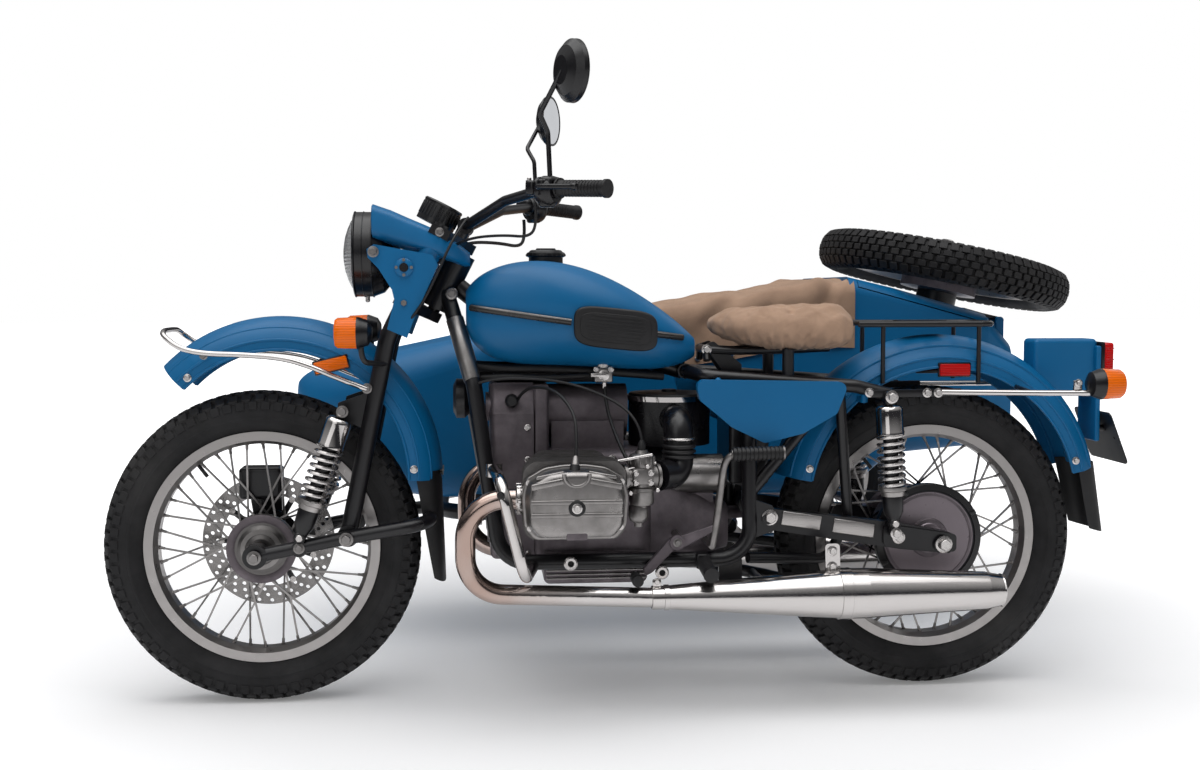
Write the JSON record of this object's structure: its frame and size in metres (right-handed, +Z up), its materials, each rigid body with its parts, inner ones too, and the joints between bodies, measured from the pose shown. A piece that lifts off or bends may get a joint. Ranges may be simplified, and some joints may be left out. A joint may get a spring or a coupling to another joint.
{
  "type": "sidecar motorcycle",
  "caption": "Boxer-engined motorcycle with leading-link fork, steering, rolling wire wheels, centre stand and a covered sidecar with opening trunk lid and spare wheel.",
  "frame": {"origin": "on the floor, under the middle of the whole vehicle's bounding box", "axes": "+X points forward, +Y to the rider's left, +Z up"},
  "size_m": [2.4547, 1.6692, 1.3918],
  "materials": {
    "blue_paint": "satin",
    "black_paint": "satin",
    "dark_case": "satin",
    "cast_aluminium": "satin",
    "chrome": "polished",
    "stainless": "brushed",
    "tyre_rubber": "matt",
    "black_rubber": "matt",
    "black_plastic": "matt",
    "canvas": "woven",
    "amber_lens": "gloss",
    "red_lens": "gloss",
    "glass": "clear",
    "wheel_metal": "satin",
    "disc_steel": "brushed",
    "mirror_shell": "gloss"
  },
  "bodies": {
    "chassis": {"main_frame": "black_paint", "frame_fittings": "black_paint", "engine_block": "cast_aluminium", "front_case": "dark_case", "cylinders": "cast_aluminium", "valve_covers": "cast_aluminium", "carburettors": "cast_aluminium", "air_cleaner": "black_rubber", "exhausts": "stainless", "crash_bars": "chrome", "fuel_tank": "blue_paint", "filler_cap": "chrome", "knee_pads": "black_rubber", "rider_saddle": "canvas", "saddle_bracket": "black_paint", "side_panels": "blue_paint", "rear_fender": "blue_paint", "rear_flap": "black_rubber", "rear_rack": "chrome", "rear_indicators": "chrome", "number_plate": "black_paint", "swing_arms": "cast_aluminium", "rear_shocks": "chrome", "final_drive": "cast_aluminium", "foot_controls": "black_paint", "sidecar_frame": "black_paint", "sidecar_tub": "blue_paint", "cockpit_cover": "canvas", "sidecar_fender": "blue_paint", "lamps": "red_lens"},
    "trunk": {"trunk_lid": "blue_paint", "spare_carrier": "black_paint", "spare_tyre": "tyre_rubber", "spare_wheel": "wheel_metal"},
    "steering": {"fork": "black_paint", "front_link": "black_paint", "front_shocks": "chrome", "front_fender": "blue_paint", "front_flap": "black_rubber", "fender_bar": "chrome", "headlamp": "black_paint", "headlamp_lens": "glass", "fork_covers": "blue_paint", "speedometer": "black_plastic", "handlebar": "chrome", "bar_controls": "black_plastic", "mirrors": "mirror_shell", "front_indicators": "amber_lens"},
    "front_wheel_set": {"front_tyre": "tyre_rubber", "front_wheel": "wheel_metal", "front_disc": "disc_steel"},
    "rear_wheel_set": {"rear_tyre": "tyre_rubber", "rear_wheel": "wheel_metal"},
    "sidecar_wheel_set": {"sidecar_tyre": "tyre_rubber", "sidecar_wheel": "wheel_metal"},
    "stand": {"centre_stand": "black_paint"}
  },
  "joints": [
    {"name": "steering_turn", "type": "hinge", "parent": "chassis", "child": "steering", "pos_m": [0.47242, 0.38136, 0.93], "axis": [-0.454, 0, 0.891], "range_deg": [-35, 35]},
    {"name": "front_wheel_spin", "type": "hinge", "parent": "steering", "child": "front_wheel_set", "pos_m": [0.88242, 0.38136, 0.345], "axis": [0, 1, 0], "continuous": true},
    {"name": "rear_wheel_spin", "type": "hinge", "parent": "chassis", "child": "rear_wheel_set", "pos_m": [-0.61258, 0.38136, 0.345], "axis": [0, 1, 0], "continuous": true},
    {"name": "sidecar_wheel_spin", "type": "hinge", "parent": "chassis", "child": "sidecar_wheel_set", "pos_m": [-0.55258, -0.74864, 0.345], "axis": [0, 1, 0], "continuous": true},
    {"name": "trunk_lid_hinge", "type": "hinge", "parent": "chassis", "child": "trunk", "pos_m": [-0.98658, -0.29864, 0.828], "axis": [0, -1, 0], "range_deg": [0, 75]},
    {"name": "stand_pivot", "type": "hinge", "parent": "chassis", "child": "stand", "pos_m": [-0.14258, 0.38136, 0.262], "axis": [0, -1, 0], "range_deg": [0, 85], "stiffness_Nm_per_rad": 6, "springref_deg": -114.59}
  ]
}
